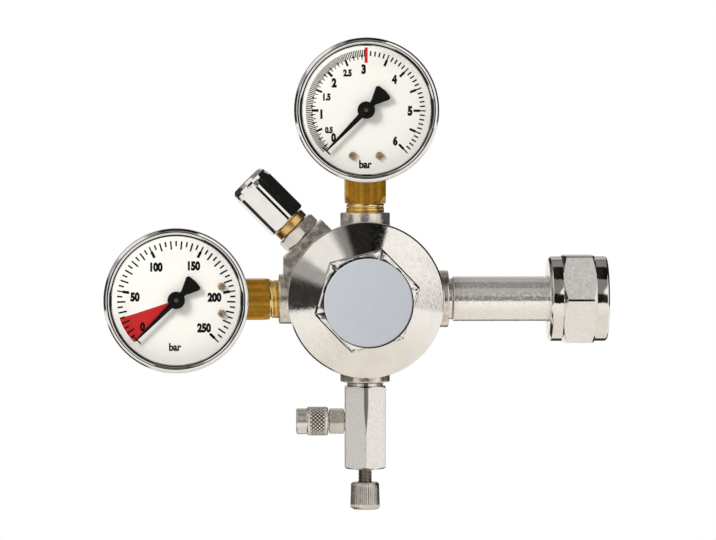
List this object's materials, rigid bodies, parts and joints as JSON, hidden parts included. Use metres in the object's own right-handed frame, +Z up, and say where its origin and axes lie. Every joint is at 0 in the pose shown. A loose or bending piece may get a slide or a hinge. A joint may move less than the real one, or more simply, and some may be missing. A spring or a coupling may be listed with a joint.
{
  "type": "carbon dioxide regulator",
  "caption": "Preset gas bottle regulator with a conical bonnet, a contents gauge, an outlet gauge, a relief valve and a needle valve outlet.",
  "frame": {"origin": "on the inlet's axis, at the face of the gasket that the bottle's valve seals on", "axes": "+X out of the inlet towards the bottle's valve, -Y the front with the dials, +Z up"},
  "size_m": [0.1744, 0.0433, 0.1635],
  "materials": {
    "chrome": "polished chrome plate",
    "satin_nickel": "turned and plated, slightly satin",
    "brass": "machined brass, dull",
    "bright_brass": "stamped brass",
    "steel": "spring steel",
    "label_grey": "grey plate, bare",
    "rubber": "black rubber",
    "nylon": "white nylon",
    "dial_white": "white enamel with a black scale",
    "pointer_black": "black enamel",
    "clear": "clear window"
  },
  "bodies": {
    "regulator": {"bonnet": "satin_nickel", "bonnet_label": "label_grey", "diaphragm": "rubber", "high_bezel": "chrome", "high_bourdon_tube": "bright_brass", "high_case": "chrome", "high_dial": "dial_white", "high_dial_screw_left": "bright_brass", "high_dial_screw_right": "bright_brass", "high_movement": "bright_brass", "high_socket": "brass", "high_window": "clear", "inlet_filter": "brass", "inlet_gasket": "nylon", "inlet_stem": "chrome", "low_bezel": "chrome", "low_bourdon_tube": "bright_brass", "low_case": "chrome", "low_dial": "dial_white", "low_dial_screw_left": "bright_brass", "low_dial_screw_right": "bright_brass", "low_movement": "bright_brass", "low_socket": "brass", "low_window": "clear", "main_spring": "steel", "needle_block": "chrome", "nozzle": "brass", "outlet_adapter": "chrome", "poppet_spring": "steel", "preset_screw": "brass", "rear_plug": "chrome", "regulator_body": "chrome", "relief_base": "chrome", "relief_cap": "chrome", "relief_sleeve": "brass", "relief_spring": "steel", "slip_ring": "brass", "spindle_gland": "brass", "spindle_o_ring": "rubber", "spring_button": "steel"},
    "bottle_nut": {"bottle_nut": "chrome"},
    "hose_nut": {"hose_nut": "satin_nickel"},
    "spindle": {"needle_spindle": "chrome"},
    "knob": {"needle_knob": "chrome"},
    "plate": {"spring_plate": "brass"},
    "poppet": {"valve_poppet": "brass"},
    "relief_poppet": {"relief_poppet": "brass"},
    "low_pointer": {"low_pointer": "pointer_black", "low_pinion": "bright_brass"},
    "low_sector": {"low_sector": "bright_brass"},
    "low_link": {"low_link": "bright_brass"},
    "high_pointer": {"high_pointer": "pointer_black", "high_pinion": "bright_brass"},
    "high_sector": {"high_sector": "bright_brass"},
    "high_link": {"high_link": "bright_brass"}
  },
  "joints": [
    {"name": "bottle_nut_spin", "type": "hinge", "parent": "regulator", "child": "bottle_nut", "pos_m": [-0.0013, 0, 0], "axis": [1, 0, 0], "continuous": true},
    {"name": "hose_nut_spin", "type": "hinge", "parent": "regulator", "child": "hose_nut", "pos_m": [-0.0923, 0, -0.0425], "axis": [-1, 0, 0], "continuous": true},
    {"name": "spindle_lift", "type": "slide", "parent": "regulator", "child": "spindle", "axis": [0, 0, 1], "range_m": [-0.0015, 0.001]},
    {"name": "knob_turn", "type": "hinge", "parent": "spindle", "child": "knob", "pos_m": [-0.0743, 0, -0.068], "axis": [0, 0, 1], "range_deg": [-1080, 720]},
    {"name": "plate_slide", "type": "slide", "parent": "regulator", "child": "plate", "axis": [0, -1, 0], "range_m": [0, 0.0005], "stiffness_N_per_m": 2000, "deforming": ["main_spring", "diaphragm"]},
    {"name": "poppet_slide", "type": "slide", "parent": "regulator", "child": "poppet", "axis": [0, -1, 0], "range_m": [0, 0.0005], "deforming": ["poppet_spring"]},
    {"name": "relief_lift", "type": "slide", "parent": "regulator", "child": "relief_poppet", "axis": [-0.7071, 0, 0.7071], "range_m": [0, 0.001], "stiffness_N_per_m": 1000, "deforming": ["relief_spring"]},
    {"name": "low_pointer_turn", "type": "hinge", "parent": "regulator", "child": "low_pointer", "pos_m": [-0.0743, 0, 0.0655], "axis": [0, 1, 0], "range_deg": [0, 270], "stiffness_Nm_per_rad": 0.0002, "deforming": ["low_bourdon_tube"]},
    {"name": "low_sector_turn", "type": "hinge", "parent": "regulator", "child": "low_sector", "pos_m": [-0.0768, 0, 0.05494], "axis": [0, 1, 0], "range_deg": [-40, 0]},
    {"name": "low_link_turn", "type": "hinge", "parent": "low_sector", "child": "low_link", "pos_m": [-0.07182, 0, 0.05451], "axis": [0, 1, 0], "range_deg": [0, 40]},
    {"name": "high_pointer_turn", "type": "hinge", "parent": "regulator", "child": "high_pointer", "pos_m": [-0.1398, 0, 0], "axis": [0, 1, 0], "range_deg": [0, 270], "stiffness_Nm_per_rad": 0.0002, "deforming": ["high_bourdon_tube"]},
    {"name": "high_sector_turn", "type": "hinge", "parent": "regulator", "child": "high_sector", "pos_m": [-0.12924, 0, -0.0025], "axis": [0, 1, 0], "range_deg": [-40, 0]},
    {"name": "high_link_turn", "type": "hinge", "parent": "high_sector", "child": "high_link", "pos_m": [-0.12881, 0, 0.00248], "axis": [0, 1, 0], "range_deg": [0, 40]}
  ],
  "couplings": [
    {"joint": "knob_turn", "follows": "spindle_lift", "rad_per_m": 12566},
    {"joint": "poppet_slide", "follows": "plate_slide", "ratio": 1},
    {"joint": "low_sector_turn", "follows": "low_pointer_turn", "ratio": -0.14815},
    {"joint": "low_link_turn", "follows": "low_pointer_turn", "ratio": 0.14815},
    {"joint": "high_sector_turn", "follows": "high_pointer_turn", "ratio": -0.14815},
    {"joint": "high_link_turn", "follows": "high_pointer_turn", "ratio": 0.14815}
  ]
}
